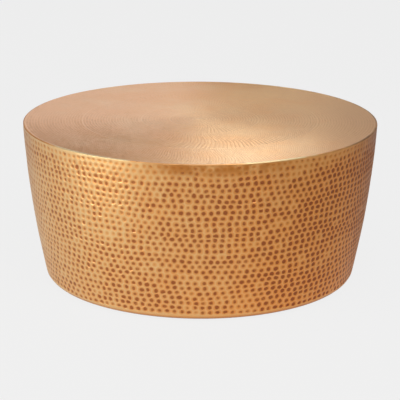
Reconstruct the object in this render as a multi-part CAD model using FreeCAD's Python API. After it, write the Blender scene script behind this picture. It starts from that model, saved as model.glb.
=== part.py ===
"""Drum coffee table: a hammered sheet metal skin over a board and a steel frame, on screw levellers.

Units are millimetres. +Z is up, the floor is Z = 0 and the drum's axis is the Z axis.
The front of the table faces -Y, and its left side is -X.
"""

import FreeCAD, Part

import math
import os

from FreeCAD import Rotation, Vector

# Overall sizes of the drum
TOP_DIAMETER = 864.0  # across the table top
TABLE_HEIGHT = 390.0  # from the floor to the table top
FOOT_DIAMETER = 756.0  # across the wall's slope, run on down to the drum's underside
WALL_CROWN = 8.0  # how far the wall bows out of a straight slope at half height
FOOT_ROUND = 22.0  # outside radius where the wall turns in at the foot

# Sheet metal skin
WALL_SHEET = 1.2
TOP_SHEET = 2.0
TOP_EDGE_ROUND = 0.8
TOP_FLANGE = 16.0  # width of the wall's turned-in upper edge, which carries the top sheet
FOOT_LIP = 14.0  # width of the flat part of the wall's turned-in foot
SEAM_STRAP_SHEET = 1.2
SEAM_STRAP_WIDTH = 40.0
SEAM_STRAP_END_GAP = 6.0  # left free above the foot's turn and below the top hoop
BRAZE_GAP = 0.3  # between a rolled strap and the wall that it is brazed to

# Board under the top sheet
BOARD_THICKNESS = 15.0
BOARD_CLEARANCE = 1.0  # between the board's edge and the wall's flange

# Steel frame of flat bar and rolled angle
FRAME_BAR = 3.0  # thickness of the angle and of the uprights
TOP_HOOP_LEDGE = 38.0  # width of the angle's flat leg, under the board
TOP_HOOP_SKIRT = 30.0  # height of the angle's standing leg, against the wall
UPRIGHT_WIDTH = 25.0
FOOT_HOOP_BAR = 4.0
FOOT_HOOP_WIDTH = 52.0
FRAME_GAP = 0.5  # between the frame and the wall that it stands against
WELD_GAP = 0.2  # left for the weld between an upright's toe and the foot hoop

# Screws that hold the board on the top hoop
BOARD_SCREW_COUNT = 8
BOARD_SCREW_DIAMETER = 4.0
BOARD_SCREW_DEPTH = 10.0  # reach into the board
BOARD_SCREW_HEAD_DIAMETER = 8.0
BOARD_SCREW_HEAD_HEIGHT = 3.0
SCREW_DRIVE_WIDTH = 1.2
SCREW_DRIVE_DEPTH = 1.2

# Rivets that hold the wall's lip on the foot hoop
RIVET_COUNT = 12
RIVET_DIAMETER = 4.0
RIVET_HEAD_DIAMETER = 8.0
RIVET_HEAD_HEIGHT = 1.2
RIVET_TAIL_DIAMETER = 6.0
RIVET_TAIL_HEIGHT = 1.6
HOLE_CLEARANCE = 0.1  # all round a screw or rivet in its hole

# Levellers: a threaded stem with a moulded pad, in a nut that is welded to the foot hoop
PAD_DIAMETER = 28.0
PAD_HEIGHT = 4.0
PAD_EDGE_ROUND = 1.0
PAD_FLOOR = 1.5  # plastic below the stem's end
PAD_LIP_GAP = 2.0  # from the pad to the wall's lip
STOP_GAP = 0.2  # from the pad to the foot hoop, when it is screwed right in
STEM_DIAMETER = 8.0
STEM_LENGTH = 36.0
STEM_CHAMFER = 1.0
STEM_SLOT_WIDTH = 1.6
STEM_SLOT_DEPTH = 2.5
THREAD_CLEARANCE = 0.08  # all round the stem in the nut, and in the pad that is moulded on it
NUT_ACROSS_FLATS = 13.0
NUT_HEIGHT = 6.5

# Places round the drum, in degrees anticlockwise from +X, seen from above
PANEL_STARTS = {"back": 0.0, "front": 180.0}
SEAM_PLACES = {"right": 0.0, "left": 180.0}
UPRIGHT_PLACES = {
    "back_right": 30.0,
    "back": 90.0,
    "back_left": 150.0,
    "front_left": 210.0,
    "front": 270.0,
    "front_right": 330.0,
}
LEVELLER_PLACES = {"back_right": 45.0, "back_left": 135.0, "front_left": 225.0, "front_right": 315.0}

# Heights that follow from the sizes above
FOOT_HOOP_UNDERSIDE = PAD_HEIGHT + STOP_GAP
FOOT_HOOP_TOP = FOOT_HOOP_UNDERSIDE + FOOT_HOOP_BAR
DRUM_UNDERSIDE = FOOT_HOOP_UNDERSIDE - WALL_SHEET
WALL_TOP = TABLE_HEIGHT - TOP_SHEET
BOARD_UNDERSIDE = WALL_TOP - BOARD_THICKNESS
LEDGE_UNDERSIDE = BOARD_UNDERSIDE - FRAME_BAR
SKIRT_BOTTOM = BOARD_UNDERSIDE - TOP_HOOP_SKIRT

AXIS = Vector(0, 0, 1)
DOWN = Vector(0, 0, -1)
CENTRE = Vector(0, 0, 0)
SAME_HEIGHT = 1e-6  # heights closer than this count as one


# The wall's outline, in the plane of X and Z

def bow_of_wall():
    """Centre and radius of the long arc that the wall's outside follows from the foot to the top."""
    low = Vector(FOOT_DIAMETER / 2, 0, DRUM_UNDERSIDE)
    high = Vector(TOP_DIAMETER / 2, 0, WALL_TOP)
    chord = high - low
    outward = Vector(chord.z, 0, -chord.x).normalize()
    radius = ((chord.Length / 2) ** 2 + WALL_CROWN**2) / (2 * WALL_CROWN)
    return (low + high) / 2 - outward * (radius - WALL_CROWN), radius


BOW_CENTRE, BOW_RADIUS = bow_of_wall()


def turn_of_foot():
    """Centre of the round that joins the bowed wall to the drum's flat underside."""
    height = DRUM_UNDERSIDE + FOOT_ROUND
    reach = BOW_RADIUS - FOOT_ROUND
    return Vector(BOW_CENTRE.x + math.sqrt(reach**2 - (height - BOW_CENTRE.z) ** 2), 0, height)


TURN_CENTRE = turn_of_foot()
TURN_DIRECTION = (TURN_CENTRE - BOW_CENTRE).normalize()
LIP_RADIUS = TURN_CENTRE.x - FOOT_LIP
FLANGE_RADIUS = TOP_DIAMETER / 2 - TOP_FLANGE
BOARD_RADIUS = FLANGE_RADIUS - BOARD_CLEARANCE
FRAME_OUTSIDE = WALL_SHEET + FRAME_GAP
FRAME_INSIDE = FRAME_OUTSIDE + FRAME_BAR
FOOT_HOOP_RADIUS = TURN_CENTRE.x - WELD_GAP
LEVELLER_RADIUS = LIP_RADIUS - PAD_LIP_GAP - PAD_DIAMETER / 2
RIVET_RADIUS = (LIP_RADIUS + FOOT_HOOP_RADIUS) / 2


def on_bow(inset, height):
    """The point of the bowed wall at a height, an inset in from its outside."""
    across = math.sqrt((BOW_RADIUS - inset) ** 2 - (height - BOW_CENTRE.z) ** 2)
    return Vector(BOW_CENTRE.x + across, 0, height)


LEDGE_RADIUS = on_bow(FRAME_OUTSIDE, BOARD_UNDERSIDE).x - TOP_HOOP_LEDGE
BOARD_SCREW_RADIUS = (LEDGE_RADIUS + BOARD_RADIUS) / 2


def on_turn(inset, direction):
    """The point of the foot's round in a direction from its centre, an inset in from its outside."""
    return TURN_CENTRE + direction * (FOOT_ROUND - inset)


def bow_arc(inset, start, end):
    """Middle and end of an arc along the bowed wall between two heights."""
    return on_bow(inset, (start + end) / 2), on_bow(inset, end)


def turn_height(inset):
    """Height where the bowed wall passes into the foot's round."""
    return on_turn(inset, TURN_DIRECTION).z


def turn_arc(inset, start, end):
    """Middle and end of an arc round the foot between two directions."""
    return on_turn(inset, (start + end).normalize()), on_turn(inset, end)


def face_through(start, *steps):
    """A closed flat face. Each step is the end of a straight run, or the middle and end of an arc."""
    edges = []
    here = start
    for step in steps:
        if isinstance(step, tuple):
            middle, end = step
            edges.append(Part.Arc(here, middle, end).toShape())
        else:
            end = step
            edges.append(Part.LineSegment(here, end).toShape())
        here = end
    edges.append(Part.LineSegment(here, start).toShape())
    return Part.Face(Part.Wire(edges))


# Shared ways of making and placing solids

def turned(face, start=0.0, sweep=360.0):
    """The solid that a face sweeps about the drum's axis, from a start angle."""
    solid = face.revolve(CENTRE, AXIS, sweep)
    solid.rotate(CENTRE, AXIS, start)
    return solid


def ring_face(inner, outer, bottom, top):
    """The section of a plain ring or disc."""
    return face_through(
        Vector(inner, 0, bottom), Vector(outer, 0, bottom), Vector(outer, 0, top), Vector(inner, 0, top)
    )


def placed(solid, radius, angle):
    """A copy of a solid that stands on the axis, moved out to a radius and turned to an angle."""
    copy = solid.copy()
    copy.translate(Vector(radius, 0, 0))
    copy.rotate(CENTRE, AXIS, angle)
    return copy


def even_places(count):
    """Angles of a count of fasteners, spread evenly and clear of the seams."""
    step = 360.0 / count
    return [step * (i + 0.5) for i in range(count)]


def peg(diameter, bottom, top):
    """An upright cylinder on the axis."""
    return Part.makeCylinder(diameter / 2, top - bottom, Vector(0, 0, bottom))


def pegs(diameter, bottom, top, radius, angles):
    """Cylinders round the drum, to be cut as holes."""
    return [placed(peg(diameter, bottom, top), radius, angle) for angle in angles]


def slot_cutter(length, width, bottom, top):
    """A bar across the axis that cuts a screwdriver slot."""
    return Part.makeBox(length, width, top - bottom, Vector(-length / 2, -width / 2, bottom))


def edges_at(solid, height):
    """The edges of a solid that lie flat at one height."""
    return [
        edge
        for edge in solid.Edges
        if math.isclose(edge.BoundBox.ZMin, height, abs_tol=SAME_HEIGHT)
        and math.isclose(edge.BoundBox.ZMax, height, abs_tol=SAME_HEIGHT)
    ]


# Skin

def top_sheet():
    """The flat round top, laid on the wall's flange, with its edge dressed round."""
    disc = peg(TOP_DIAMETER, WALL_TOP, TABLE_HEIGHT)
    return disc.makeFillet(TOP_EDGE_ROUND, edges_at(disc, TABLE_HEIGHT) + edges_at(disc, WALL_TOP))


def wall_panel(start):
    """Half of the drum's wall: one sheet with a flange turned in at the top and a lip at the foot."""
    sheet = WALL_SHEET
    face = face_through(
        Vector(FLANGE_RADIUS, 0, WALL_TOP),
        on_bow(0, WALL_TOP),
        bow_arc(0, WALL_TOP, turn_height(0)),
        turn_arc(0, TURN_DIRECTION, DOWN),
        Vector(LIP_RADIUS, 0, DRUM_UNDERSIDE),
        Vector(LIP_RADIUS, 0, DRUM_UNDERSIDE + sheet),
        on_turn(sheet, DOWN),
        turn_arc(sheet, DOWN, TURN_DIRECTION),
        bow_arc(sheet, turn_height(sheet), WALL_TOP - sheet),
        Vector(FLANGE_RADIUS, 0, WALL_TOP - sheet),
    )
    holes = pegs(
        RIVET_DIAMETER + 2 * HOLE_CLEARANCE, 0, FOOT_HOOP_TOP, RIVET_RADIUS, even_places(RIVET_COUNT)
    )
    return turned(face, start, 180.0).cut(holes)


def seam_strap(place):
    """A rolled strap behind the butt seam between the two wall panels."""
    outside = WALL_SHEET + BRAZE_GAP
    inside = outside + SEAM_STRAP_SHEET
    low = turn_height(0) + SEAM_STRAP_END_GAP
    high = SKIRT_BOTTOM - SEAM_STRAP_END_GAP
    face = face_through(
        on_bow(outside, high),
        bow_arc(outside, high, low),
        on_bow(inside, low),
        bow_arc(inside, low, high),
    )
    sweep = math.degrees(SEAM_STRAP_WIDTH / on_bow(outside, (low + high) / 2).x)
    return turned(face, place - sweep / 2, sweep)


# Board and frame

def top_board():
    """The stiff round board that the top sheet is bonded to, with pilot holes for its screws."""
    holes = pegs(
        BOARD_SCREW_DIAMETER + 2 * HOLE_CLEARANCE,
        BOARD_UNDERSIDE,
        BOARD_UNDERSIDE + BOARD_SCREW_DEPTH + HOLE_CLEARANCE,
        BOARD_SCREW_RADIUS,
        even_places(BOARD_SCREW_COUNT),
    )
    return peg(2 * BOARD_RADIUS, BOARD_UNDERSIDE, WALL_TOP).cut(holes)


def top_hoop():
    """A hoop of rolled angle: its ledge carries the board, and its skirt stands against the wall."""
    face = face_through(
        Vector(LEDGE_RADIUS, 0, BOARD_UNDERSIDE),
        on_bow(FRAME_OUTSIDE, BOARD_UNDERSIDE),
        bow_arc(FRAME_OUTSIDE, BOARD_UNDERSIDE, SKIRT_BOTTOM),
        on_bow(FRAME_INSIDE, SKIRT_BOTTOM),
        bow_arc(FRAME_INSIDE, SKIRT_BOTTOM, LEDGE_UNDERSIDE),
        Vector(LEDGE_RADIUS, 0, LEDGE_UNDERSIDE),
    )
    holes = pegs(
        BOARD_SCREW_DIAMETER + 2 * HOLE_CLEARANCE,
        LEDGE_UNDERSIDE,
        BOARD_UNDERSIDE,
        BOARD_SCREW_RADIUS,
        even_places(BOARD_SCREW_COUNT),
    )
    return turned(face).cut(holes)


def upright(place):
    """A flat bar that is bent to the wall's line, from the top hoop's skirt round to the foot hoop."""
    face = face_through(
        on_bow(FRAME_OUTSIDE, SKIRT_BOTTOM),
        bow_arc(FRAME_OUTSIDE, SKIRT_BOTTOM, turn_height(FRAME_OUTSIDE)),
        turn_arc(FRAME_OUTSIDE, TURN_DIRECTION, DOWN),
        on_turn(FRAME_INSIDE, DOWN),
        turn_arc(FRAME_INSIDE, DOWN, TURN_DIRECTION),
        bow_arc(FRAME_INSIDE, turn_height(FRAME_INSIDE), SKIRT_BOTTOM),
    )
    bar = face.extrude(Vector(0, UPRIGHT_WIDTH, 0))
    bar.translate(Vector(0, -UPRIGHT_WIDTH / 2, 0))
    bar.rotate(CENTRE, AXIS, place)
    return bar


def foot_hoop():
    """The flat hoop that lies on the wall's lip, drilled for the rivets and for the leveller stems."""
    hoop = turned(
        ring_face(FOOT_HOOP_RADIUS - FOOT_HOOP_WIDTH, FOOT_HOOP_RADIUS, FOOT_HOOP_UNDERSIDE, FOOT_HOOP_TOP)
    )
    rivet_holes = pegs(
        RIVET_DIAMETER + 2 * HOLE_CLEARANCE,
        FOOT_HOOP_UNDERSIDE,
        FOOT_HOOP_TOP,
        RIVET_RADIUS,
        even_places(RIVET_COUNT),
    )
    stem_holes = pegs(
        STEM_DIAMETER + 4 * THREAD_CLEARANCE,
        FOOT_HOOP_UNDERSIDE,
        FOOT_HOOP_TOP,
        LEVELLER_RADIUS,
        LEVELLER_PLACES.values(),
    )
    return hoop.cut(rivet_holes + stem_holes)


# Fasteners, each kind as one group of separate solids

def board_screws():
    """Pan-head wood screws, up through the hoop's ledge into the board."""
    head_bottom = LEDGE_UNDERSIDE - BOARD_SCREW_HEAD_HEIGHT
    head = peg(BOARD_SCREW_HEAD_DIAMETER, head_bottom, LEDGE_UNDERSIDE)
    head = head.makeFillet(BOARD_SCREW_HEAD_HEIGHT / 2, edges_at(head, head_bottom))
    shank = peg(BOARD_SCREW_DIAMETER, LEDGE_UNDERSIDE, BOARD_UNDERSIDE + BOARD_SCREW_DEPTH)
    slot = slot_cutter(
        BOARD_SCREW_HEAD_DIAMETER, SCREW_DRIVE_WIDTH, head_bottom, head_bottom + SCREW_DRIVE_DEPTH
    )
    screw = head.fuse(shank).cut(slot).removeSplitter()
    return Part.makeCompound(
        [placed(screw, BOARD_SCREW_RADIUS, angle) for angle in even_places(BOARD_SCREW_COUNT)]
    )


def foot_rivets():
    """Domed rivets, up through the wall's lip and the foot hoop."""
    head = peg(RIVET_HEAD_DIAMETER, DRUM_UNDERSIDE - RIVET_HEAD_HEIGHT, DRUM_UNDERSIDE)
    head = head.makeFillet(RIVET_HEAD_HEIGHT / 2, edges_at(head, DRUM_UNDERSIDE - RIVET_HEAD_HEIGHT))
    shank = peg(RIVET_DIAMETER, DRUM_UNDERSIDE, FOOT_HOOP_TOP)
    tail = peg(RIVET_TAIL_DIAMETER, FOOT_HOOP_TOP, FOOT_HOOP_TOP + RIVET_TAIL_HEIGHT)
    rivet = head.fuse([shank, tail]).removeSplitter()
    return Part.makeCompound([placed(rivet, RIVET_RADIUS, angle) for angle in even_places(RIVET_COUNT)])


# Levellers

def leveller_nut(place):
    """A hexagon nut, welded on the foot hoop over a stem hole."""
    corner = NUT_ACROSS_FLATS / math.sqrt(3)
    corners = [Vector(corner, 0, FOOT_HOOP_TOP)]
    for i in range(6):
        corners.append(Rotation(AXIS, 60.0 * (i + 1)).multVec(corners[0]))
    hexagon = Part.Face(Part.makePolygon(corners)).extrude(AXIS * NUT_HEIGHT)
    top = FOOT_HOOP_TOP + NUT_HEIGHT
    rounding = Part.makeCone(
        NUT_ACROSS_FLATS / 2 + NUT_HEIGHT, NUT_ACROSS_FLATS / 2, NUT_HEIGHT, Vector(0, 0, FOOT_HOOP_TOP)
    )
    thread = peg(STEM_DIAMETER + 2 * THREAD_CLEARANCE, FOOT_HOOP_TOP, top)
    return placed(hexagon.common(rounding).cut(thread), LEVELLER_RADIUS, place)


def leveller_stem(place):
    """The threaded stem, held in the pad at its foot and slotted at its top for a screwdriver."""
    top = PAD_FLOOR + STEM_LENGTH
    stem = peg(STEM_DIAMETER, PAD_FLOOR, top)
    stem = stem.makeChamfer(STEM_CHAMFER, edges_at(stem, top))
    slot = slot_cutter(STEM_DIAMETER, STEM_SLOT_WIDTH, top - STEM_SLOT_DEPTH, top)
    return placed(stem.cut(slot), LEVELLER_RADIUS, place)


def leveller_pad(place):
    """The round plastic pad that stands on the floor, moulded on the stem's end."""
    pad = peg(PAD_DIAMETER, 0, PAD_HEIGHT)
    pad = pad.makeFillet(PAD_EDGE_ROUND, edges_at(pad, 0) + edges_at(pad, PAD_HEIGHT))
    socket = peg(STEM_DIAMETER + 2 * THREAD_CLEARANCE, PAD_FLOOR, PAD_HEIGHT)
    return placed(pad.cut(socket), LEVELLER_RADIUS, place)


def all_nodes():
    """Every node of the table by name."""
    nodes = {
        "top_sheet": top_sheet(),
        "top_board": top_board(),
        "top_hoop": top_hoop(),
        "foot_hoop": foot_hoop(),
        "board_screws": board_screws(),
        "foot_rivets": foot_rivets(),
    }
    for side, start in PANEL_STARTS.items():
        nodes[f"wall_panel_{side}"] = wall_panel(start)
    for side, place in SEAM_PLACES.items():
        nodes[f"seam_strap_{side}"] = seam_strap(place)
    for side, place in UPRIGHT_PLACES.items():
        nodes[f"upright_{side}"] = upright(place)
    for corner, place in LEVELLER_PLACES.items():
        nodes[f"leveller_nut_{corner}"] = leveller_nut(place)
        nodes[f"leveller_stem_{corner}"] = leveller_stem(place)
        nodes[f"leveller_pad_{corner}"] = leveller_pad(place)
    return nodes


os.makedirs("parts", exist_ok=True)
for name, shape in all_nodes().items():
    shape.exportStep(f"parts/{name}.step")
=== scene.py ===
import math
import random

import bmesh
import bpy
from mathutils import Matrix, Quaternion, Vector, noise


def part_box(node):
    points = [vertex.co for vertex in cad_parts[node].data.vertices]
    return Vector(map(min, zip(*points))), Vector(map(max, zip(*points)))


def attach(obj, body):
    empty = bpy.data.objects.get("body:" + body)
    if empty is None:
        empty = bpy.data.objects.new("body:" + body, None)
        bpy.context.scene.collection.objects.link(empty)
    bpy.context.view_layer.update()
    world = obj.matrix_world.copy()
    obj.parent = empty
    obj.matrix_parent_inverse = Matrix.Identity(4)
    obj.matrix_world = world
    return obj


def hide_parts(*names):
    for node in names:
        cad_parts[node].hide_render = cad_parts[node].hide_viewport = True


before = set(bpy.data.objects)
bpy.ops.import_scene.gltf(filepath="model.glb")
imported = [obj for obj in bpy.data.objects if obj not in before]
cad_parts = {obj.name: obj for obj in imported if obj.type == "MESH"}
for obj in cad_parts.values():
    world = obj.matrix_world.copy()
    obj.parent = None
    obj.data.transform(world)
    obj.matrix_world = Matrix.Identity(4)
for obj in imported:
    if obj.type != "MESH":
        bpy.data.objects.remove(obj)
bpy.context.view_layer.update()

# Foot hoop, uprights and top hoop
# The hidden steel frame: a flat hoop on the floor side, six flat bars bent to the wall's line and a hoop of
# rolled angle under the board, all welded up and black powder coated, with the coat's fine orange peel.


class Shade:
    """A socket among a finish's nodes. Arithmetic on it adds Math nodes, and node() makes any other node."""

    def __init__(self, tree, socket=None):
        self.tree = tree
        self.socket = socket

    def node(self, kind, settings=None, inputs=None, output=None):
        made = self.tree.nodes.new(kind)
        for name, value in (settings or {}).items():
            setattr(made, name, value)
        for name, value in (inputs or {}).items():
            into = next(socket for socket in made.inputs if name in (socket.identifier, socket.name))
            if isinstance(value, Shade):
                self.tree.links.new(value.socket, into)
            else:
                into.default_value = value
        shown = [socket for socket in made.outputs if socket.enabled]
        if output:
            shown = [socket for socket in shown if output in (socket.identifier, socket.name)]
        return Shade(self.tree, shown[0] if shown else None)

    def math(self, operation, first, second):
        return self.node("ShaderNodeMath", {"operation": operation}, {"Value": first, "Value_001": second})

    def __add__(self, other):
        return self.math("ADD", self, other)

    def __radd__(self, other):
        return self.math("ADD", other, self)

    def __sub__(self, other):
        return self.math("SUBTRACT", self, other)

    def __rsub__(self, other):
        return self.math("SUBTRACT", other, self)

    def __mul__(self, other):
        return self.math("MULTIPLY", self, other)

    def __rmul__(self, other):
        return self.math("MULTIPLY", other, self)

    def between(self, low, high):
        """0 where the value is at low, 1 where it is at high, and eased in between."""
        return self.node(
            "ShaderNodeMapRange",
            {"interpolation_type": "SMOOTHSTEP"},
            {"Value": self, "From Min": low, "From Max": high},
        )

    def blend(self, first, second):
        """The first colour where this value is 0, and the second where it is 1."""
        first, second = [c if isinstance(c, Shade) else (*c, 1.0) for c in (first, second)]
        inputs = {"Factor_Float": self, "A_Color": first, "B_Color": second}
        return self.node("ShaderNodeMix", {"data_type": "RGBA"}, inputs)

    def places(self):
        return self.node("ShaderNodeTexCoord", output="Object")

    def vector(self, operation, first, second=(0, 0, 0), output="Vector"):
        settings = {"operation": operation}
        return self.node("ShaderNodeVectorMath", settings, {"Vector": first, "Vector_001": second}, output)

    def along(self, axis):
        """The place along one of the object's axes."""
        return self.node("ShaderNodeSeparateXYZ", inputs={"Vector": self.places()}, output=axis)

    def radius(self):
        """Distance from the drum's axis."""
        return self.vector("LENGTH", self.vector("MULTIPLY", self.places(), (1, 1, 0)), output="Value")

    def noise_at(self, place, scale, detail):
        """Soft noise from 0 to 1."""
        inputs = {"Vector": place, "Scale": scale, "Detail": detail}
        return self.node("ShaderNodeTexNoise", inputs=inputs, output="Fac")

    def cloud(self, scale, detail=3.0):
        """Soft noise, with about this many blotches to the metre."""
        return self.noise_at(self.places(), scale, detail)

    def streaks(self, across, upright):
        """Noise drawn out up and down, with about so many streaks to the metre each way."""
        return self.noise_at(self.vector("MULTIPLY", self.places(), (across, across, upright)), 1.0, 3.0)

    def ringed_cloud(self, across, around):
        """Noise drawn out into rings about the drum's axis: so many to the metre, and to a radian."""
        heading = self.vector("NORMALIZE", self.vector("MULTIPLY", self.places(), (1, 1, 0)))
        out = self.node("ShaderNodeCombineXYZ", inputs={"Z": self.radius() * across})
        place = self.vector("ADD", self.vector("MULTIPLY", heading, (around, around, 0)), out)
        return self.noise_at(place, 1.0, 2.0)

    def cells(self, scale):
        """Distance from the nearest of a scatter of points, about this many to the metre."""
        return self.node(
            "ShaderNodeTexVoronoi", inputs={"Vector": self.places(), "Scale": scale}, output="Distance"
        )

    def bump(self, relief, depth, strength=1.0):
        return self.node(
            "ShaderNodeBump", inputs={"Height": relief, "Distance": depth, "Strength": strength}
        )


def new_finish(name):
    """An empty material, and a Shade to add its nodes with."""
    finish = bpy.data.materials.new(name)
    finish.use_nodes = True
    finish.node_tree.nodes.clear()
    return finish, Shade(finish.node_tree)


def coat(shade, **sockets):
    """Ends a finish in one shader. Socket names have their spaces as underscores."""
    inputs = {name.replace("_", " "): value for name, value in sockets.items()}
    shader = shade.node("ShaderNodeBsdfPrincipled", inputs=inputs)
    shade.node("ShaderNodeOutputMaterial", inputs={"Surface": shader})


def powder_coat():
    finish, shade = new_finish("black_powder_coat")
    peel = shade.cloud(900.0, 2.0)
    dust = shade.cloud(14.0, 5.0).between(0.45, 0.8)
    coat(
        shade,
        Base_Color=dust.blend((0.016, 0.015, 0.014), (0.05, 0.046, 0.041)),
        Roughness=0.42 + dust * 0.2,
        Normal=shade.bump(peel, 0.0002, 0.5),
    )
    return finish


def dress(node_names, finish):
    """Gives CAD nodes a finish in place of the plain one they came with."""
    for name in node_names:
        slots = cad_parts[name].data.materials
        slots.clear()
        slots.append(finish)


def nodes_called(start):
    return [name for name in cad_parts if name.startswith(start)]


dress(["foot_hoop", "top_hoop", *nodes_called("upright_")], powder_coat())

# Levellers
# Weld nuts on the foot hoop, threaded stems of zinc plated steel in them, and round nylon pads moulded on
# the stems, which stand on the floor.


def zinc_plate():
    finish, shade = new_finish("zinc_plate")
    spangle = shade.cells(420.0)
    cloud = shade.cloud(60.0)
    coat(
        shade,
        Base_Color=cloud.between(0.3, 0.7).blend((0.5, 0.5, 0.48), (0.66, 0.65, 0.6)),
        Metallic=1.0,
        Roughness=0.28 + spangle * 0.25,
        Normal=shade.bump(shade.cloud(1500.0), 0.00008, 0.6),
    )
    return finish


def moulded_nylon():
    finish, shade = new_finish("moulded_nylon")
    grain = shade.cells(1600.0)
    scuff = shade.cloud(120.0, 6.0).between(0.55, 0.75)
    coat(
        shade,
        Base_Color=scuff.blend((0.014, 0.014, 0.015), (0.045, 0.043, 0.041)),
        Roughness=0.5 + scuff * 0.2,
        Normal=shade.bump(grain, 0.00015, 0.5),
    )
    return finish


zinc = zinc_plate()
dress([*nodes_called("leveller_nut_"), *nodes_called("leveller_stem_")], zinc)
dress(nodes_called("leveller_pad_"), moulded_nylon())

# Wall panels
# Two half-round sheets of aluminium that meet at the drum's sides, beaten all over in rows with a round
# hammer, then brass plated, darkened and rubbed back: brown stays in the marks and gold shows between them.

wall_low, wall_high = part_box("wall_panel_front")
RIM_RADIUS = wall_high.x
FOOT_RADIUS = 0.378
WALL_CROWN = 0.008
FOOT_ROUND = 0.022
TOP_FLANGE = 0.016
FOOT_LIP = 0.014
WALL_SHEET = 0.0012

foot_point = Vector((FOOT_RADIUS, 0, wall_low.z))
rim_point = Vector((RIM_RADIUS, 0, wall_high.z))
chord = rim_point - foot_point
bow_radius = (chord.length_squared / 4 + WALL_CROWN**2) / (2 * WALL_CROWN)
bow_out = Vector((chord.z, 0, -chord.x)).normalized()
bow_centre = (foot_point + rim_point) / 2 - bow_out * (bow_radius - WALL_CROWN)
turn_rise = wall_low.z + FOOT_ROUND - bow_centre.z
turn_reach = bow_radius - FOOT_ROUND
turn_centre = bow_centre + Vector((math.sqrt(turn_reach**2 - turn_rise**2), 0, turn_rise))
rim_angle = math.atan2(rim_point.z - bow_centre.z, rim_point.x - bow_centre.x)
turn_angle = math.atan2(turn_rise, turn_centre.x - bow_centre.x)
bow_length = (rim_angle - turn_angle) * bow_radius
turn_length = (turn_angle + math.pi / 2) * FOOT_ROUND


def wall_outline(down):
    """The point of the wall's outside, and its outward normal, a distance down the sheet from the rim."""
    if down < 0:
        return rim_point + Vector((down, 0, 0)), Vector((0, 0, 1))
    if down < bow_length:
        angle = rim_angle - down / bow_radius
        out = Vector((math.cos(angle), 0, math.sin(angle)))
        return bow_centre + out * bow_radius, out
    if down < bow_length + turn_length:
        angle = turn_angle - (down - bow_length) / FOOT_ROUND
        out = Vector((math.cos(angle), 0, math.sin(angle)))
        return turn_centre + out * FOOT_ROUND, out
    inward = down - bow_length - turn_length
    return turn_centre + Vector((-inward, 0, -FOOT_ROUND)), Vector((0, 0, -1))


def onto_wall(point):
    """The nearest point of the wall's true outside, and its outward normal."""
    turn = Matrix.Rotation(math.atan2(point.y, point.x), 3, "Z")
    flat = Vector((math.hypot(point.x, point.y), 0, point.z))
    on_bow = math.atan2(flat.z - bow_centre.z, flat.x - bow_centre.x) > turn_angle
    centre, radius = (bow_centre, bow_radius) if on_bow else (turn_centre, FOOT_ROUND)
    out = (flat - centre).normalized()
    return turn @ (centre + out * radius), turn @ out


MARK_ROWS = 28
MARK_COLUMNS = 85
ENDED_COLUMNS = 14


def eased(share):
    """0 below 0, 1 above 1, and a smooth step in between."""
    share = min(1.0, max(0.0, share))
    return share * share * (3 - 2 * share)


def column_ends(draw):
    """The last row of each column of marks. Most run to the foot; some end as the wall narrows."""
    ends = [MARK_ROWS] * (MARK_COLUMNS + 1)
    for i in range(ENDED_COLUMNS):
        last_row = draw.randint(2, MARK_ROWS - 2)
        column = int((i + draw.uniform(0.35, 0.75)) * MARK_COLUMNS / ENDED_COLUMNS)
        ends[column] = last_row
    return ends


def mark_line(column, row, ends):
    """How far round the sheet a mark lies, in columns. A column that has ended lies on the one before it."""
    widths = [0.0 if row > end else 1.0 for end in ends[1:MARK_COLUMNS]]
    return (sum(widths[:column]) - 0.5) * MARK_COLUMNS / sum(widths)


WANDER = 0.4
AROUND_JITTER = 0.2
DOWN_JITTER = 0.15
STAGGER = 0.14
STAGGER_SPREAD = 0.3
CALM_COLUMNS = 3


def strayed(line, row, seed):
    """Where the hand put a mark that was meant for this line and row."""
    place = Vector((line / 9, row * 0.8, seed))
    close = Vector((line * 1.7, row * 1.9, seed))
    stagger = STAGGER + STAGGER_SPREAD * noise.noise(Vector((line / 14, row / 9, seed + 3.3)))
    around = WANDER * noise.noise(place) + AROUND_JITTER * noise.noise(close) + stagger * (-1) ** row
    along_row = Vector((line / 8, row / 3.5, seed + 7.7))
    down = WANDER * noise.noise(along_row) + DOWN_JITTER * noise.noise(close + Vector((0, 0, 4.4)))
    calm = eased(min(line, MARK_COLUMNS - line) / CALM_COLUMNS)
    return line + around * calm, row + down * calm


SWELL_RISE = 0.0004
DENT_RISE = 0.0002
STREAK_RISE = 0.001
STREAK_REACH = 0.14


def uneven(point):
    """How far the beaten sheet stands out of its true round here, most in the streaks under the rim."""
    streak = noise.noise(Vector((point.x * 40, point.y * 40, point.z * 7)))
    under_rim = eased(1 - (wall_high.z - point.z) / STREAK_REACH)
    swell = SWELL_RISE * noise.noise(point * 14) + DENT_RISE * noise.noise(point * 31)
    return swell + STREAK_RISE * under_rim * max(0.0, streak)


FIRST_ROW = 0.0072
ROW_PITCH = 0.0134
LAST_ROW_ROOM = 0.6 * ROW_PITCH
EDGE_STRIP = 0.0006
FOOT_STEPS = 4
HAIR = 1e-6


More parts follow.
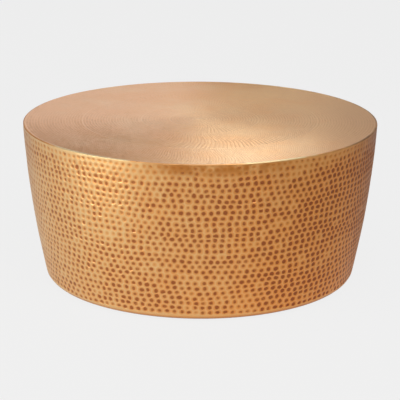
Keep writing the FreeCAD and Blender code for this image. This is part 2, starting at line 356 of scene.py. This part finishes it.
def bent_sheet(bm, start, seed, ends):
    """Spins a half-round sheet, with its flange and lip. Returns a vertex for each hammer mark."""
    mark_steps = [FIRST_ROW + ROW_PITCH * i for i in range(MARK_ROWS)]
    marks_end = mark_steps[-1] + LAST_ROW_ROOM
    sheet_end = bow_length + turn_length
    steps = [-TOP_FLANGE, 0.0, EDGE_STRIP, *mark_steps]
    steps += [marks_end + (sheet_end - marks_end) * i / FOOT_STEPS for i in range(FOOT_STEPS + 1)]
    steps += [sheet_end + FOOT_LIP]
    row_of = bm.verts.layers.int.new("row")
    section = []
    for index, down in enumerate(steps):
        point = wall_outline(down)[0]
        above, below = [wall_outline(down + shift)[1] for shift in (-HAIR, HAIR)]
        mitre = (above + below) / (1 + above.dot(below))
        outer = bm.verts.new(point)
        outer[row_of] = index - steps.index(EDGE_STRIP)
        section.append((outer, bm.verts.new(point - mitre * WALL_SHEET)))
    for (outer, inner), (next_outer, next_inner) in zip(section, section[1:]):
        bm.faces.new((outer, inner, next_inner, next_outer))
    bmesh.ops.spin(
        bm, geom=[*bm.verts, *bm.edges, *bm.faces], axis=(0, 0, 1), angle=math.pi, steps=MARK_COLUMNS
    )
    marks = []
    for vert in bm.verts:
        column = round(abs(math.atan2(vert.co.y, vert.co.x)) / math.pi * MARK_COLUMNS)
        if 0 < vert[row_of] <= MARK_ROWS and 0 < column < MARK_COLUMNS:
            line, row = strayed(mark_line(column, vert[row_of], ends), vert[row_of], seed)
            down = FIRST_ROW + ROW_PITCH * (row - 1)
            vert.co = Matrix.Rotation(line * math.pi / MARK_COLUMNS, 3, "Z") @ wall_outline(down)[0]
            marks.append(vert)
    bmesh.ops.rotate(bm, verts=bm.verts, matrix=Matrix.Rotation(start, 3, "Z"))
    bmesh.ops.remove_doubles(bm, verts=marks, dist=HAIR)
    bmesh.ops.recalc_face_normals(bm, faces=bm.faces)
    return [vert for vert in marks if vert.is_valid]


RIDGE_RISE = 0.00042
SADDLE_RISE = 0.00026


def raise_ridges(verts, rise):
    """Stands the vertices that lie between the marks out of the sheet."""
    for vert in verts:
        point, normal = onto_wall(vert.co)
        vert.co = point + normal * (rise + uneven(point))


def middle_of(part):
    """Where a face or an edge lies. Sorted by this, they come in the same order on every run."""
    corners = [vert.co for vert in part.verts]
    return tuple(sum(corners, Vector()) / len(corners))


def faces_and_edges_at(marks):
    """Each face and each edge that meets a mark, once."""
    faces = {face for mark in marks for face in mark.link_faces}
    edges = {edge for mark in marks for edge in mark.link_edges}
    return sorted(faces, key=middle_of), sorted(edges, key=middle_of)


def cells_of(bm, marks):
    """Cuts the sheet's outside midway between the marks. Returns the number of the mark in each cell."""
    mark_of = bm.faces.layers.int.new("mark")
    field, spokes = faces_and_edges_at(marks)
    bmesh.ops.triangulate(bm, faces=field)
    field, spokes = faces_and_edges_at(marks)
    bmesh.ops.beautify_fill(bm, faces=field, edges=spokes, method="AREA")
    field, spokes = faces_and_edges_at(marks)
    ridges = bmesh.ops.poke(bm, faces=field)["verts"]
    bmesh.ops.rotate_edges(bm, edges=spokes)
    for index, mark in enumerate(marks):
        for face in mark.link_faces:
            face[mark_of] = index + 1
    bmesh.ops.dissolve_verts(bm, verts=marks)
    raise_ridges(ridges, RIDGE_RISE)
    cells = [face for face in bm.faces if face[mark_of]]
    edges = {edge for cell in cells for edge in cell.edges}
    split = bmesh.ops.bisect_edges(bm, edges=sorted(edges, key=middle_of), cuts=1)["geom_split"]
    raise_ridges([part for part in split if isinstance(part, bmesh.types.BMVert)], SADDLE_RISE)
    return {cell: cell[mark_of] - 1 for cell in cells}


MARK_RADIUS = 0.007
LEAST_FORCE = 0.1
MOST_FORCE = 1.25
MISHIT_SHARE = 0.03
MISHIT_FORCE = 0.5
BIGGER_BROWNER_TO_RIGHT = 0.22
FAINT_ROWS = 3


def blow_at(place, row, draw, seed):
    """One blow of the hammer: where it falls, how hard, how wide its mark is and how brown it stays."""
    point, normal = onto_wall(place)
    force = draw.gauss(1.0, 0.09) + 0.2 * noise.noise(point * 22) + 0.25 * noise.noise(point * 5)
    force += 0.12 * noise.noise(Vector((point.x * 3, point.y * 3, row * 0.9 + seed)))
    if draw.random() < MISHIT_SHARE:
        force *= MISHIT_FORCE
    # Painted shade: marks are bigger and browner to the right, fainter on the left where the key light's
    # highlight falls.
    force += BIGGER_BROWNER_TO_RIGHT * point.x / RIM_RADIUS - 0.03
    if row <= FAINT_ROWS:
        force *= draw.uniform(0.2, 0.6) + 0.2 * (row - 1) + 0.3 * eased(-0.5 - 4 * point.x)
    force = min(MOST_FORCE, max(LEAST_FORCE, force))
    return {
        "centre": point + normal * uneven(point),
        "normal": normal,
        "across": normal.cross(Vector((0, 0, 1))).normalized(),
        "force": force,
        "size": MARK_RADIUS * min(1.1, max(0.5, force) ** 0.6),
        "wide": draw.uniform(0.9, 1.12),
        "stain": min(1.15, 0.3 + 0.7 * force) * draw.uniform(0.88, 1.1),
    }


MARK_DEPTH = 0.00065
RING_REACH = (1.0, 0.7, 0.48)
RING_SINK = (0.1, 0.55, 0.9)
RING_BROWN = (0.2, 0.55, 1.0)
CELL_SHARE = 0.92


def sink_ring(face, blow, ring, patina):
    """Rounds the ring that an inset made in a cell, about the blow's centre, and sinks it."""
    across = blow["across"]
    along = blow["normal"].cross(across)
    for vert in face.verts:
        offset = vert.co - blow["centre"]
        aside = Vector((offset.dot(across), offset.dot(along)))
        reach = min(blow["size"] * RING_REACH[ring], CELL_SHARE * aside.length)
        aside = aside.normalized() * reach
        vert.co = (
            blow["centre"]
            + across * (aside.x * blow["wide"])
            + along * (aside.y / blow["wide"])
            - blow["normal"] * (MARK_DEPTH * RING_SINK[ring] * blow["force"])
        )
        vert[patina] = RING_BROWN[ring] * blow["stain"]


FOOT_BROWN = (0.0, 0.3, 0.7, 1.1, 1.1, 1.1)
SEAM_BROWN = 0.6
AT_SEAM = 1e-5
CREASE = math.radians(50)
RING_INSET = 0.0003


def hammered_panel(name, start, seed):
    """A half-round sheet with its flange and lip, and a round hammer mark in each cell of its outside."""
    draw = random.Random(seed)
    bm = bmesh.new()
    patina = bm.verts.layers.float.new("patina")
    marks = bent_sheet(bm, start, seed, column_ends(draw))
    row_of = bm.verts.layers.int["row"]
    for vert in bm.verts:
        if vert[row_of] > MARK_ROWS:
            vert[patina] = FOOT_BROWN[vert[row_of] - MARK_ROWS - 1]
        elif vert[row_of] > 0 and abs(vert.co.y) < AT_SEAM:
            vert[patina] = SEAM_BROWN
    blows = [blow_at(mark.co, mark[row_of], draw, seed) for mark in marks]
    cells = cells_of(bm, marks)
    for edge in bm.edges:
        edge.smooth = edge.calc_face_angle() < CREASE
    for ring in range(len(RING_REACH)):
        bmesh.ops.inset_individual(bm, faces=list(cells), thickness=RING_INSET)
        for face, number in cells.items():
            sink_ring(face, blows[number], ring, patina)
    for face in bm.faces:
        face.smooth = True
    return finished(bm, name)


def finished(bm, name):
    """The object that a bmesh is made into, in the scene."""
    mesh = bpy.data.meshes.new(name)
    bm.to_mesh(mesh)
    bm.free()
    piece = bpy.data.objects.new(name, mesh)
    bpy.context.scene.collection.objects.link(piece)
    return piece


def hammered_brass():
    """Brown in the marks, gold between them, an amber smear under the rim, and painted shade at the sides.
    """
    finish, shade = new_finish("hammered_brass")
    brown = shade.node("ShaderNodeAttribute", {"attribute_name": "patina"}, output="Fac")
    mottle = shade.cloud(26.0, 4.0)
    fleck = shade.cloud(700.0, 3.0)
    side = shade.along("X")
    # Painted light and shade: creamier gold on the left, where the key light falls, redder and darker to the
    # right.
    shade_to_right = (side + mottle * 0.5).between(-0.2, 0.6)
    gold = shade_to_right.blend((0.91, 0.48, 0.17), (0.89, 0.335, 0.074))
    # The paler gold on the ridges is partly wear and partly painted glints where the ridges catch the light.
    worn_and_glint = shade_to_right.blend((0.98, 0.66, 0.31), (0.98, 0.48, 0.145))
    dark = shade_to_right.blend((0.47, 0.16, 0.048), (0.4, 0.107, 0.03))
    blotch = shade.cloud(190.0, 2.0)
    depth = (brown * (0.5 + blotch) + fleck * 0.2).between(0.42, 1.15)
    height = shade.along("Z")
    smear_span = side.between(-0.16, -0.04) * side.between(0.26, 0.1) * height.between(0.35, 0.378)
    smear = shade.cloud(45.0, 3.0).between(0.2, 0.6) * smear_span * shade.along("Y").between(0.1, -0.1)
    # Painted shade: darker at the drum's far left and right, with dark streaks under the rim, faint all
    # round, stronger at the sides.
    ends = side.between(0.33, 0.43) * 0.42 + side.between(-0.36, -0.43) * 0.3
    flanks = side.between(0.3, 0.43) + side.between(-0.37, -0.43)
    under_rim = height.between(0.26, 0.375) * (0.08 + flanks * 0.14)
    tarnish_and_side_shade = ends + shade.streaks(90.0, 12.0).between(0.35, 0.6) * under_rim
    amber = (0.6, 0.2, 0.025)
    smeared = (smear * 0.85).blend(brown.between(0.2, 0.0).blend(gold, worn_and_glint), amber)
    plate = tarnish_and_side_shade.blend(smeared, dark)
    coat(
        shade,
        Base_Color=depth.blend(plate, dark),
        Metallic=1.0,
        Roughness=0.37 + depth * 0.1 + fleck * 0.08,
        Coat_Weight=0.25,
        Coat_Roughness=0.3,
        Normal=shade.bump(shade.cloud(420.0, 4.0), 0.0003, 0.35),
    )
    return finish


brass = hammered_brass()
for side, start, seed in (("front", math.pi, 3), ("back", 0.0, 8)):
    panel = hammered_panel(f"hammered_wall_{side}", start, seed)
    panel.data.materials.append(brass)
    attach(panel, "table")
    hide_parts(f"wall_panel_{side}")

# Seam straps
# Two strips of thin aluminium bent to the wall's line, brazed across the inside of the panels' two seams.
# They are left as rolled, with the mill's fine streaks along them.


def mill_sheet():
    finish, shade = new_finish("mill_sheet")
    streak = shade.streaks(900.0, 40.0)
    stain = shade.cloud(22.0, 5.0).between(0.5, 0.8)
    coat(
        shade,
        Base_Color=stain.blend((0.6, 0.58, 0.55), (0.4, 0.37, 0.33)),
        Metallic=1.0,
        Roughness=0.3 + streak * 0.15 + stain * 0.2,
        Normal=shade.bump(streak, 0.00006, 0.6),
    )
    return finish


dress(nodes_called("seam_strap_"), mill_sheet())

# Foot rivets
# Twelve dome-headed blind rivets of dull bare aluminium, through the wall's lip into the foot hoop.


def dull_aluminium():
    finish, shade = new_finish("dull_aluminium")
    bloom = shade.cloud(180.0, 4.0).between(0.35, 0.7)
    coat(
        shade,
        Base_Color=bloom.blend((0.62, 0.61, 0.59), (0.45, 0.44, 0.42)),
        Metallic=1.0,
        Roughness=0.38 + bloom * 0.2,
        Normal=shade.bump(shade.cloud(1400.0), 0.00006, 0.6),
    )
    return finish


dress(["foot_rivets"], dull_aluminium())

# Top board and its screws
# A round of raw fibreboard with a fine fleck, which stiffens the top. Eight zinc plated screws come up
# through the top hoop and hold it down.


def raw_fibreboard():
    finish, shade = new_finish("raw_fibreboard")
    fibre = shade.cells(650.0)
    cloud = shade.cloud(18.0, 5.0)
    fleck = shade.cloud(380.0, 4.0).between(0.58, 0.7)
    board = cloud.between(0.3, 0.7).blend((0.27, 0.155, 0.075), (0.37, 0.225, 0.115))
    coat(
        shade,
        Base_Color=(fleck * 0.6).blend(board, (0.16, 0.085, 0.04)),
        Roughness=0.8 + fibre * 0.1,
        Normal=shade.bump(fibre, 0.0002, 0.6),
    )
    return finish


dress(["top_board"], raw_fibreboard())
dress(["board_screws"], zinc)

# Top sheet
# One disc of aluminium, hammered in close rings from the rim to the middle, brass plated and lacquered to a
# satin sheen. It lies on the wall's flange, and its edge is dressed round by hand.

top_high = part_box("top_sheet")[1]
TOP_RADIUS = top_high.x
EDGE_TURN = ((0, 0.002), (0, 0.0012), (0.0007, 0.0006), (0.002, 0.0002), (0.004, 0.00004))
PLAIN_EDGE = 0.006
RING_PITCH = 0.0068
RIM_MARKS = 360
LEAST_MARKS = 10
LEAST_WIDTH = 0.005
ZONE_GAP = 0.0015
WAVE_RINGS = 24
WAVE_TURN = 0.18
TOP_MARK_INSET = 0.0022
TOP_MARK_DEPTH = 0.0004
LIGHT_BLOW = 0.7
HARD_BLOW = 1.2
BACK_FORCE = 0.65
FRONT_GAIN = 0.85
TOP_SEED = 21
DULL_FROM = 0.004
DULL_TO = 0.001


def edge_wear_and_highlight(point):
    """How brown the dressed edge is: below 0 bright, from wear and partly painted highlight; above 1 dark.
    """
    share = point.x / TOP_RADIUS
    patches = 0.8 * noise.noise(point * 9) + 0.6 * noise.noise(point * 45)
    # Painted highlight: the bright stretches lie left and right of the middle, where the rounded edge
    # catches the lamps.
    return 0.45 + 0.3 * share + 1.1 * math.cos(math.tau * (share + 0.05) / 1.05) + patches


def spin_zones(bm, ring_of):
    """Spins the disc's rings, zone by zone from its edge. Returns the first and last ring of each zone."""
    points = [(TOP_RADIUS - inward, top_high.z - drop) for inward, drop in EDGE_TURN]
    radius = TOP_RADIUS - PLAIN_EDGE
    marks = RIM_MARKS
    rings = 0
    zones = []
    while marks >= LEAST_MARKS:
        count = int((radius - marks * LEAST_WIDTH / math.tau) / RING_PITCH)
        points += [(radius - RING_PITCH * i, top_high.z) for i in range(count + 1)]
        line = [bm.verts.new((out, 0, up)) for out, up in points]
        for index, vert in enumerate(line):
            vert[ring_of] = rings + index
        edges = [bm.edges.new(pair) for pair in zip(line, line[1:])]
        bmesh.ops.spin(
            bm, geom=line + edges, axis=(0, 0, 1), angle=math.tau, steps=marks, use_merge=True
        )
        zones.append((rings, rings + len(line) - 1))
        rings += len(line)
        points = []
        radius -= RING_PITCH * count + ZONE_GAP
        marks //= 2
    return zones


def wave_rings(bm, ring_of, zones):
    """Turns each ring of marks a little on the ring outside it, so that the marks line up in waves."""
    phase = 0.0
    turns = []
    for zone, (start, end) in enumerate(zones):
        for ring in range(start, end + 1):
            phase += WAVE_TURN * math.sin(math.tau * ring / WAVE_RINGS)
            turns.append(phase * math.tau / (RIM_MARKS >> zone))
    for vert in bm.verts:
        if vert[ring_of] >= len(EDGE_TURN):
            vert.co = Matrix.Rotation(turns[vert[ring_of]], 3, "Z") @ vert.co


def edges_round(bm, ring_of, rings):
    """The edges that run along these rings."""
    found = []
    for edge in bm.edges:
        first, second = [vert[ring_of] for vert in edge.verts]
        if first == second and first in rings:
            found.append(edge)
    return found


def close_disc(bm, ring_of, zones):
    """Joins each zone to the next, and fills the middle and the underside."""
    for (_, end), (start, _) in zip(zones, zones[1:]):
        bmesh.ops.bridge_loops(bm, edges=edges_round(bm, ring_of, (end, start)))
    middle = zones[-1][1]
    for ring in (0, middle):
        bmesh.ops.edgeloop_fill(bm, edges=edges_round(bm, ring_of, (ring,)))


def ring_and_angle(face, ring_of):
    """A mark's place in the order of hammering: ring by ring, and round each ring."""
    centre = face.calc_center_median()
    return min(vert[ring_of] for vert in face.verts), math.atan2(centre.y, centre.x)


def hammered_top():
    """A disc of rings of marks. Each zone of rings has half as many marks as the zone outside it."""
    draw = random.Random(TOP_SEED)
    bm = bmesh.new()
    ring_of = bm.verts.layers.int.new("ring")
    patina = bm.verts.layers.float.new("patina")
    zones = spin_zones(bm, ring_of)
    wave_rings(bm, ring_of, zones)
    for vert in bm.verts:
        if vert[ring_of] < len(EDGE_TURN):
            vert[patina] = edge_wear_and_highlight(vert.co)
    cells = [face for face in bm.faces if ring_and_angle(face, ring_of)[0] >= len(EDGE_TURN)]
    cells.sort(key=lambda face: ring_and_angle(face, ring_of))
    close_disc(bm, ring_of, zones)
    bmesh.ops.recalc_face_normals(bm, faces=bm.faces)
    bmesh.ops.inset_individual(bm, faces=cells, thickness=TOP_MARK_INSET)
    for face in cells:
        # Deeper marks towards the front, where the sheen falls; as patina follows force, that brown is
        # painted shade.
        front = eased((0.1 - face.calc_center_median().y) / 0.5)
        force = draw.uniform(LIGHT_BLOW, HARD_BLOW) * (BACK_FORCE + FRONT_GAIN * front)
        for vert in face.verts:
            vert.co.z = top_high.z - TOP_MARK_DEPTH * force
            vert[patina] = force
    for face in bm.faces:
        underneath = face.normal.z < -0.9
        face.smooth = not underneath
    return finished(bm, "hammered_top")


def satin_brass():
    """Lacquered gold, browner in marks; a dull dressed edge, partly bright from wear and painted highlight.
    """
    finish, shade = new_finish("satin_brass")
    brown = shade.node("ShaderNodeAttribute", {"attribute_name": "patina"}, output="Fac")
    mottle = shade.cloud(9.0, 4.0)
    fleck = shade.cloud(500.0, 3.0)
    lines = shade.ringed_cloud(400.0, 12.0)
    # Painted shading: the gold is deeper on the left and paler to the right, to offset how the lamps light
    # each side.
    paler = (mottle + shade.along("X") * 0.5).between(0.25, 0.75)
    gold = paler.blend((0.91, 0.405, 0.12), (0.92, 0.5, 0.208))
    # Where the edge's patina is low it turns bright gold: partly wear, partly painted highlight.
    rubbed_and_highlight = brown.between(0.2, -0.6).blend(gold, (1.0, 0.76, 0.4))
    edge = shade.radius().between(TOP_RADIUS - DULL_FROM, TOP_RADIUS - DULL_TO)
    depth = brown.between(0.2, 1.2) * 0.3 + brown.between(1.3, 2.5) * 0.6
    coat(
        shade,
        Base_Color=depth.blend(rubbed_and_highlight, (0.4, 0.17, 0.06)),
        Metallic=1.0,
        Roughness=0.25 + fleck * 0.06 + mottle * 0.05 + edge * 0.15,
        Anisotropic=0.25,
        Anisotropic_Rotation=0.25,
        Coat_Weight=0.3 - edge * 0.3,
        Coat_Roughness=0.16,
        Normal=shade.bump(lines + fleck * 0.1, 0.0004),
    )
    return finish


top = hammered_top()
top.data.materials.append(satin_brass())
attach(top, "table")
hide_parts("top_sheet")

# Floor, lights and camera
# A pale floor and a pale surround, under soft studio light: a large light on the left and one high in
# front for the wall, weak ones low in front, overhead and at each side, and some behind for the top's sheen.

BACKDROP = (0.883, 0.883, 0.883, 1.0)
FLOOR_PAINT = (0.5, 0.5, 0.5, 1.0)
FLOOR_IN_VIEW = 0.95
FLOOR_IN_METAL = 0.04
LIT_FLOOR_IN_METAL = 0.35
LIT_FLOOR_TO = 0.1
DIM_FLOOR_FROM = 0.75
SURROUND_LIGHT = 0.17
SURROUND_IN_METAL = 0.05
HALF_FLOOR = 30.0
LIGHT_AIM = Vector((0, 0, 0.2))
COOL = (0.8, 0.97, 1.0)
WARM = (1.0, 0.88, 0.84)


def seen_share(shade, in_view, in_metal):
    """How much of the plain backdrop colour shows: to the camera, and in reflections and through glass."""
    sight = shade.node("ShaderNodeLightPath", output="Is Camera Ray")
    gloss = shade.node("ShaderNodeLightPath", output="Is Glossy Ray")
    clear = shade.node("ShaderNodeLightPath", output="Is Transmission Ray")
    return sight * in_view + (gloss + clear) * in_metal


def pale_floor():
    finish, shade = new_finish("pale_floor")
    # Painted light: the floor the metal reflects is brighter on its left, as if lit from there, dimmer on
    # its right.
    lit_side = shade.along("X").between(DIM_FLOOR_FROM, LIT_FLOOR_TO)
    seen = seen_share(shade, FLOOR_IN_VIEW, FLOOR_IN_METAL + lit_side * LIT_FLOOR_IN_METAL)
    lit = shade.node("ShaderNodeBsdfDiffuse", inputs={"Color": FLOOR_PAINT})
    plain = shade.node("ShaderNodeEmission", inputs={"Color": BACKDROP, "Strength": 1.0})
    mixed = shade.node("ShaderNodeMixShader", inputs={"Fac": seen, "Shader": lit, "Shader_001": plain})
    shade.node("ShaderNodeOutputMaterial", inputs={"Surface": mixed})
    return finish


def pale_surround():
    world = bpy.data.worlds.new("pale_surround")
    world.use_nodes = True
    world.node_tree.nodes.clear()
    shade = Shade(world.node_tree)
    seen = seen_share(shade, 1.0, SURROUND_IN_METAL)
    light = shade.node("ShaderNodeBackground", inputs={"Color": (1, 1, 1, 1), "Strength": SURROUND_LIGHT})
    plain = shade.node("ShaderNodeBackground", inputs={"Color": BACKDROP, "Strength": 1.0})
    mixed = shade.node("ShaderNodeMixShader", inputs={"Fac": seen, "Shader": light, "Shader_001": plain})
    shade.node("ShaderNodeOutputWorld", inputs={"Surface": mixed})
    return world


bm = bmesh.new()
bmesh.ops.create_grid(bm, x_segments=1, y_segments=1, size=HALF_FLOOR)
floor = finished(bm, "floor")
floor.data.materials.append(pale_floor())
bpy.context.scene.world = pale_surround()


def soft_light(name, place, width, height, power, colour=(1, 1, 1)):
    lamp = bpy.data.lights.new(name, "AREA")
    lamp.color = colour
    lamp.shape = "RECTANGLE"
    lamp.size = width
    lamp.size_y = height
    lamp.energy = power
    light = bpy.data.objects.new(name, lamp)
    light.location = place
    light.rotation_euler = (LIGHT_AIM - Vector(place)).to_track_quat("-Z", "Y").to_euler()
    light.visible_camera = False
    bpy.context.scene.collection.objects.link(light)


soft_light("key_left", (-2.57, -1.48, 1.2), width=1.6, height=2.6, power=50.0)
soft_light("high_front", (0.4, -2.2, 2.9), width=3.0, height=1.8, power=86.0)
soft_light("low_front", (1.3, -2.6, 1.3), width=1.2, height=1.0, power=6.0)
soft_light("overhead", (0.0, 0.1, 3.2), width=2.4, height=2.4, power=9.0)
soft_light("right_fill", (3.0, 0.0, 1.0), width=1.8, height=1.0, power=5.0)
soft_light("left_fill", (-3.0, 0.5, 1.05), width=1.6, height=0.8, power=2.5)
soft_light("mid_back", (0.28, 2.1, 2.2), width=1.4, height=1.2, power=3.3)
soft_light("near_back", (0.2, 1.35, 1.25), width=0.4, height=0.3, power=1.4, colour=COOL)
soft_light("back_right", (1.2, 2.7, 1.6), width=2.0, height=1.0, power=1.35, colour=WARM)
soft_light("back_left", (-1.2, 2.7, 1.6), width=3.0, height=1.0, power=3.0)
soft_light("far_left", (-0.6, 4.0, 1.15), width=1.2, height=0.6, power=2.0)

TABLE_MIDDLE = Vector((0, 0, 0.195))
EYE_DISTANCE = 4.32
EYE_ELEVATION = math.radians(16.02)
EYE_ROLL = math.radians(0.3)
AIM = Vector((0.0004, 0, 0.1832))
LENS = 156.65
SENSOR_WIDTH = 36.0
eye = TABLE_MIDDLE + EYE_DISTANCE * Vector((0, -math.cos(EYE_ELEVATION), math.sin(EYE_ELEVATION)))
camera = bpy.data.objects.new("camera", bpy.data.cameras.new("camera"))
camera.data.lens = LENS
camera.data.sensor_width = SENSOR_WIDTH
camera.location = eye
level_look = (AIM - eye).to_track_quat("-Z", "Y")
camera.rotation_euler = (level_look @ Quaternion((0, 0, 1), EYE_ROLL)).to_euler()
bpy.context.scene.collection.objects.link(camera)
bpy.context.scene.camera = camera
bpy.context.scene.view_settings.view_transform = "Standard"
